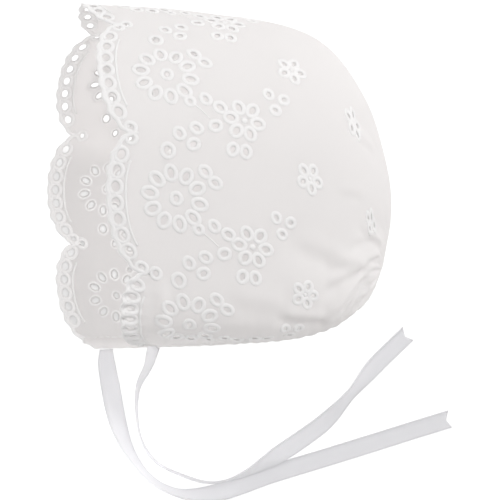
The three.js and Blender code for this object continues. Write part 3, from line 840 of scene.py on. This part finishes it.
def make_crown(holes):
    """The cloth as two faces with walls between them along its edges and eyelets."""
    flat, faces = cloth_mesh(holes)
    used = np.unique(faces)
    renumber = np.full(len(flat), -1)
    renumber[used] = np.arange(len(used))
    flat = flat[used]
    faces = renumber[faces]
    count = len(flat)
    outer = cloth_points(flat[:, 0], flat[:, 1], np.full(count, CLOTH_HALF))
    inner = cloth_points(flat[:, 0], flat[:, 1], np.full(count, -CLOTH_HALF))
    half_edges = np.concatenate([faces[:, [0, 1]], faces[:, [1, 2]], faces[:, [2, 0]]])
    keys = set(map(tuple, half_edges.tolist()))
    walls = [[b, a, a + count, b + count] for a, b in keys if (b, a) not in keys]
    both = faces.tolist() + (faces[:, ::-1] + count).tolist() + walls
    vertices = np.concatenate([outer, inner])
    crown = mesh_object("crown_cloth", vertices, both, cotton, np.concatenate([flat, flat]))
    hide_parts("crown")
    return crown


# Embroidery: satin rims round the eyelets, the overcast face edge, stems, dots and the neck's stitching.
THREAD_SIDES = 8
RIM_HALF_HEIGHT = 0.35
RIM_SHIFT = 0.1  # rims stand out less on the cloth's inner face, apart from those along the face edge
BORDER_RIM_HALF_HEIGHT = 0.45
BAND_POINTS = 72  # to a scallop
BAND_HALF_WIDTH = 0.95
BAND_HALF_HEIGHT = 0.5
BAND_INSET = 0.9
LOBE_HEIGHT = 0.45
LINE_HALF_WIDTH = 0.4
LINE_HALF_HEIGHT = 0.38
BORDER_LINE = 7.5  # from the face edge to the line of thread inside its eyelets
BORDER_LINE_SHARE = 0.62  # of each scallop
BORDER_HALF_WIDTH = 0.55
BORDER_HALF_HEIGHT = 0.42
STEM = ((12.4, 35.8), (15.0, 39.0), (18.3, 42.3))
STEM_POINTS = 16
DOT_SHARE = 0.255  # a satin dot's radius against its ring's
DOT_HEIGHT = 0.6
DOT_RINGS = 4
DOT_SIDES = 12
STITCH_LENGTH = 2.0
STITCH_POINTS = 5
STITCH_PITCH = 3.0
STITCH_INSET = 1.1
STITCH_END = 12  # the stitches stop this far from the nape


class Threads:
    """Raised threads gathered up in flat coordinates, to become one mesh."""

    def __init__(self):
        self.places = []
        self.flat = []
        self.faces = []
        self.count = 0

    def close_ends(self, rings, sides):
        end = self.count + (rings - 1) * sides
        self.faces.append([self.count + k for k in reversed(range(sides))])
        self.faces.append([end + k for k in range(sides)])

    def tube(self, line, normals, half_width, half_height, closed, shift=0):
        sides = THREAD_SIDES
        angle = np.linspace(0, 2 * np.pi, sides, endpoint=False)
        rings = len(line)
        uv = line[:, None, :] + normals[:, None, :] * (half_width * np.cos(angle))[None, :, None]
        rise = np.broadcast_to(shift + half_height * np.sin(angle), (rings, sides))
        runs = np.concatenate([[0], np.cumsum(np.linalg.norm(np.diff(line, axis=0), axis=1))])
        self.places.append(np.concatenate([uv, rise[..., None]], axis=-1).reshape(-1, 3))
        around = np.broadcast_to(angle, (rings, sides))
        along = np.broadcast_to(runs[:, None], (rings, sides))
        self.flat.append(np.stack([along, around], axis=-1).reshape(-1, 2))
        self.faces += tube_quads(self.count, rings, sides, closed)
        if not closed:
            self.close_ends(rings, sides)
        self.count += rings * sides

    def line(self, points, half_width, half_height):
        ahead = unit(np.gradient(points, axis=0))
        normals = np.stack([-ahead[:, 1], ahead[:, 0]], axis=-1)
        self.tube(points, normals, half_width, half_height, False)

    def dot(self, u, v, radius, height):
        angle = np.linspace(0, 2 * np.pi, DOT_SIDES, endpoint=False)
        tilt = np.linspace(-np.pi / 2, np.pi / 2, DOT_RINGS + 2)[1:-1]
        narrow = squeeze(u, v)
        x = u + radius * np.cos(tilt)[:, None] * np.cos(angle)[None, :] / narrow
        y = v + radius * np.cos(tilt)[:, None] * np.sin(angle)[None, :]
        rise = np.broadcast_to(height * np.sin(tilt)[:, None], x.shape)
        self.places.append(np.stack([x, y, rise], axis=-1).reshape(-1, 3))
        self.flat.append(np.stack([x, y], axis=-1).reshape(-1, 2))
        self.faces += tube_quads(self.count, DOT_RINGS, DOT_SIDES, False)
        self.close_ends(DOT_RINGS, DOT_SIDES)
        self.count += DOT_RINGS * DOT_SIDES

    def make(self, name, material):
        places = np.concatenate(self.places)
        vertices = cloth_points(places[:, 0], places[:, 1], places[:, 2])
        return mesh_object(name, vertices, self.faces, material, np.concatenate(self.flat))


def inset_line(u):
    """How far back the line inside the border's eyelets lies, at places along the face edge."""
    edge = edge_u(BAND_POINTS)
    reach = BORDER_LINE**2 - (u[:, None] - edge[None, :]) ** 2
    return np.max(np.where(reach > 0, edge_distance(edge) + np.sqrt(np.maximum(reach, 0)), 0), axis=1)


def rounded(points, count):
    """A smooth line through a few points."""
    points = np.asarray(points, float)
    keys = np.arange(len(points))
    at = np.linspace(0, len(points) - 1, count)
    return np.stack([smooth(keys, points[:, 0], at), smooth(keys, points[:, 1], at)], axis=-1)


def make_embroidery(holes):
    """All raised thread on the cloth, in one mesh."""
    threads = Threads()
    for row in holes:
        line, normals = oval(row, RIM_HALF_WIDTH, LOOP_POINTS)
        in_border = row[1] < edge_distance(row[0]) + 2 * BORDER_INSET
        half_height = BORDER_RIM_HALF_HEIGHT if in_border else RIM_HALF_HEIGHT
        shift = 0 if in_border else RIM_SHIFT
        threads.tube(line, -normals, RIM_HALF_WIDTH, half_height, True, shift=shift)
    u = edge_u(BAND_POINTS)
    lobes = LOBE_HEIGHT * border_wave(u)
    edge = np.stack([u, edge_distance(u) + BAND_INSET - lobes], axis=-1)
    threads.line(edge, BAND_HALF_WIDTH, BAND_HALF_HEIGHT)
    for centre, half in zip(SCALLOP_CENTRES, SCALLOP_HALVES):
        inner = u[np.abs(u - centre) < BORDER_LINE_SHARE * half]
        threads.line(np.stack([inner, inset_line(inner)], axis=-1), BORDER_HALF_WIDTH, BORDER_HALF_HEIGHT)
    for centre in REPEATS:
        line = rounded(STEM, STEM_POINTS) + [centre, 0]
        if from_neck(line[:, 0]).min() > NECK_CLEARANCE:
            threads.line(line, LINE_HALF_WIDTH, LINE_HALF_HEIGHT)
    for u0, v0, ring, petals, long, short, first, middle in flower_rows():
        inside = from_neck(u0) > ring + NECK_CLEARANCE
        if not middle and inside and v0 < LAST_SHARE * meridian_length(u0):
            threads.dot(u0, v0, DOT_SHARE * ring, DOT_HEIGHT)
    for neck_u in (STITCH_INSET - FAR_ARC, NEAR_ARC - STITCH_INSET):
        length = float(meridian_length(neck_u))
        start = float(edge_distance(neck_u)) + STITCH_PITCH
        for v in np.arange(start, length - STITCH_END, STITCH_PITCH):
            places = np.linspace(v, v + STITCH_LENGTH, STITCH_POINTS)
            line = np.stack([np.full(STITCH_POINTS, neck_u), places], axis=-1)
            threads.line(line, LINE_HALF_WIDTH, LINE_HALF_HEIGHT)
    made = threads.make("crown_embroidery", thread)
    return made


holes = eyelet_rows()
crown = make_crown(holes)
embroidery = make_embroidery(holes)

# Neck hem: a flattened, puckered tube that takes in the cloth's neck edge and thickens towards its free edge.
HEM_STEPS = 240
HEM_SIDES = 14
HEM_OVERLAP = 1.6
HEM_HALF_THICKNESS = 1.0
HEM_THIN_SHARE = 0.4
HEM_SWELL = 0.15
HEM_WAVER = 0.35
HEM_CORNER = 6.0  # the hem narrows over this length to a share of its width at its two front corners
HEM_CORNER_SHARE = 0.35
HEM_FLAT_RADIUS = 2  # gives the weave an even size round the hem


def make_hem():
    """The hem from the far front corner round the nape to the near front corner."""
    far_corner = float(back_of(-FAR_ARC, edge_distance(-FAR_ARC)))
    near_corner = float(back_of(NEAR_ARC, edge_distance(NEAR_ARC)))
    angle = np.linspace(0, 2 * np.pi, HEM_SIDES, endpoint=False)
    free = (1 + np.cos(angle)) / 2
    rings = []
    flat = []
    run = 0.0
    arms = ((0, np.linspace(far_corner, 1, HEM_STEPS)), (1, np.linspace(1, near_corner, HEM_STEPS)))
    for across, backs in arms:
        edge, away, out, width = neck_frame(across, backs)
        v = sample(RUNS, backs, np.full(HEM_STEPS, across))
        wave_at = pucker_wave(v)
        corner = smoothstep(v - v.min(), 0, HEM_CORNER)
        width = width * (HEM_CORNER_SHARE + (1 - HEM_CORNER_SHARE) * corner)
        depth = HEM_HALF_THICKNESS * (1 - HEM_SWELL * wave_at)
        thick = HEM_THIN_SHARE + (1 - HEM_THIN_SHARE) * free
        middle = CLOTH_SINK + (CASING_THICKNESS / 2 - CLOTH_SINK) * free
        reach = (width + HEM_OVERLAP)[:, None] * free[None, :] - HEM_OVERLAP + HEM_WAVER * wave_at[:, None]
        rise = depth[:, None] * (thick * np.sin(angle))[None, :] - middle[None, :]
        rise = rise - PUCKER_HEIGHT * wave_at[:, None]
        ring = edge[:, None, :] + away[:, None, :] * reach[..., None] + out[:, None, :] * rise[..., None]
        rings.append(ring)
        lengths = np.concatenate([[0], np.cumsum(np.linalg.norm(np.diff(edge, axis=0), axis=1))])
        around = angle * HEM_FLAT_RADIUS
        flat.append(np.stack(np.broadcast_arrays((run + lengths)[:, None], around[None, :]), axis=-1))
        run += lengths[-1]
    vertices = np.concatenate(rings)
    vertices[..., 2] = np.maximum(vertices[..., 2], FLOOR_CLEARANCE)
    count = len(vertices)
    faces = tube_quads(0, count, HEM_SIDES, False)
    faces.append(list(reversed(range(HEM_SIDES))))
    faces.append([(count - 1) * HEM_SIDES + k for k in range(HEM_SIDES)])
    uv = np.concatenate(flat).reshape(-1, 2)
    hem = mesh_object("neck_hem", vertices.reshape(-1, 3) * MM, faces, cotton, uv)
    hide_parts("neck_casing")


make_hem()

# Floor, light and surroundings. The floor glows to a clear white, and less under the side that lies on it,
# where the weaker glow is a painted shadow of the cloth.
FLOOR_SIZE = 3.0  # metres
FLOOR_COLOUR = (0.88, 0.88, 0.88)
FLOOR_GLOW = 0.4
# Painted shadow: under the side that lies on it, the floor glows less, standing in for the cloth's shade
# there.
SHADOW_PATCH_GLOW = 0.15
SHADOW_PATCH_FADE = (10, 23)  # the painted shadow fades and the floor's glow comes back between these places towards the crown
FOOT_INSET = 1.2
FOOT_HEM = 3  # how far the weaker glow, a painted shadow, reaches under the neck hem
FOOT_TOP = -78  # along the face edge, where the cloth starts to rise off the floor
FOOT_BACK = 0.75  # share of the way to the nape
FOOT_STEPS = 120
FOOT_HEIGHT = 0.02


def painted_shadow_corners():
    """Corners of the painted shadow on the floor under the cloth that lies on it, a little inside the cloth's
    edges.
    """
    u = np.linspace(FOOT_INSET - FAR_ARC, FOOT_TOP, FOOT_STEPS)
    front = np.stack([u, edge_distance(u) + FOOT_INSET], axis=-1)
    back = np.stack([u, FOOT_BACK * meridian_length(u)], axis=-1)
    neck = np.linspace(back[0], front[0], FOOT_STEPS)
    flat = np.concatenate([front, back[::-1], neck])
    corners = cloth_points(flat[:, 0], flat[:, 1], np.zeros(len(flat)))
    corners[-FOOT_STEPS:, 1] -= FOOT_HEM * MM
    corners[:, 2] = FOOT_HEIGHT * MM
    return corners.tolist()


def add_floor(name, corners, glow):
    """A part of the floor. It glows as given on the neck's side and as the open floor does on the crown's;
    where the given glow is weaker, it is a painted shadow.
    """
    mesh = bpy.data.meshes.new(name)
    mesh.from_pydata(corners, [], [list(range(len(corners)))])
    material, tree, shader = new_material(name, FLOOR_COLOUR, roughness=0.9, sheen=0)
    shader.inputs["Emission Color"].default_value = (1, 1, 1, 1)
    place = tree.nodes.new("ShaderNodeTexCoord")
    parts = tree.nodes.new("ShaderNodeSeparateXYZ")
    tree.links.new(place.outputs["Object"], parts.inputs["Vector"])
    # The glow changes along Y, so the painted shadow fades out where the cloth lifts off the floor.
    grade = add_node(
        tree, "ShaderNodeMapRange",
        From_Min=SHADOW_PATCH_FADE[0] * MM, From_Max=SHADOW_PATCH_FADE[1] * MM, To_Min=glow, To_Max=FLOOR_GLOW,
    )
    tree.links.new(parts.outputs["Y"], grade.inputs["Value"])
    tree.links.new(grade.outputs["Result"], shader.inputs["Emission Strength"])
    mesh.materials.append(material)
    floor = bpy.data.objects.new(name, mesh)
    bpy.context.scene.collection.objects.link(floor)


# Lights: name, place, target and size in metres, and power in watts. The key stands above the crown, the fill
# hangs inside over the side that lies on the floor, the front light shines on the face edge, and the low one
# on the upper ends of the ties.
LIGHTS = (
    ("key", (0.28, 0.2, 0.58), (0, 0, 0.04), 0.45, 1.42),
    ("fill", (-0.015, -0.01, 0.058), (-0.015, -0.01, 0), 0.13, 0.02),
    ("front", (-0.35, -0.03, 0.2), (0, 0, 0.06), 0.15, 0.11),
    ("low", (-0.055, -0.15, 0.035), (-0.047, -0.095, 0), 0.04, 0.017),
)
SKY_STRENGTH = (0.39, 0.72)  # from the neck's side and from the crown's side
SKY_TURN = (-0.7, 0.3)  # the directions' Y between which one passes into the other


def add_light(name, place, target, size, power):
    data = bpy.data.lights.new(name, "AREA")
    data.shape = "DISK"
    data.size = size
    data.energy = power
    light = bpy.data.objects.new(name, data)
    light.location = place
    light.rotation_euler = (Vector(target) - Vector(place)).to_track_quat("-Z", "Y").to_euler()
    light.visible_camera = False
    bpy.context.scene.collection.objects.link(light)


def light_sky():
    """A white sky, weaker on the neck's side."""
    world = bpy.data.worlds.new("studio")
    world.use_nodes = True
    tree = world.node_tree
    background = tree.nodes["Background"]
    background.inputs["Color"].default_value = (1, 1, 1, 1)
    direction = tree.nodes.new("ShaderNodeTexCoord")
    parts = tree.nodes.new("ShaderNodeSeparateXYZ")
    tree.links.new(direction.outputs["Generated"], parts.inputs["Vector"])
    grade = add_node(
        tree, "ShaderNodeMapRange",
        From_Min=SKY_TURN[0], From_Max=SKY_TURN[1], To_Min=SKY_STRENGTH[0], To_Max=SKY_STRENGTH[1],
    )
    tree.links.new(parts.outputs["Y"], grade.inputs["Value"])
    tree.links.new(grade.outputs["Result"], background.inputs["Strength"])
    bpy.context.scene.world = world
    bpy.context.scene.view_settings.view_transform = "Standard"


half = FLOOR_SIZE / 2
add_floor("floor", [(-half, -half, 0), (half, -half, 0), (half, half, 0), (-half, half, 0)], FLOOR_GLOW)
# The floor under the cloth is a painted shadow: it glows less than the open floor.
add_floor("floor_painted_shadow", painted_shadow_corners(), SHADOW_PATCH_GLOW)
for row in LIGHTS:
    add_light(*row)
light_sky()
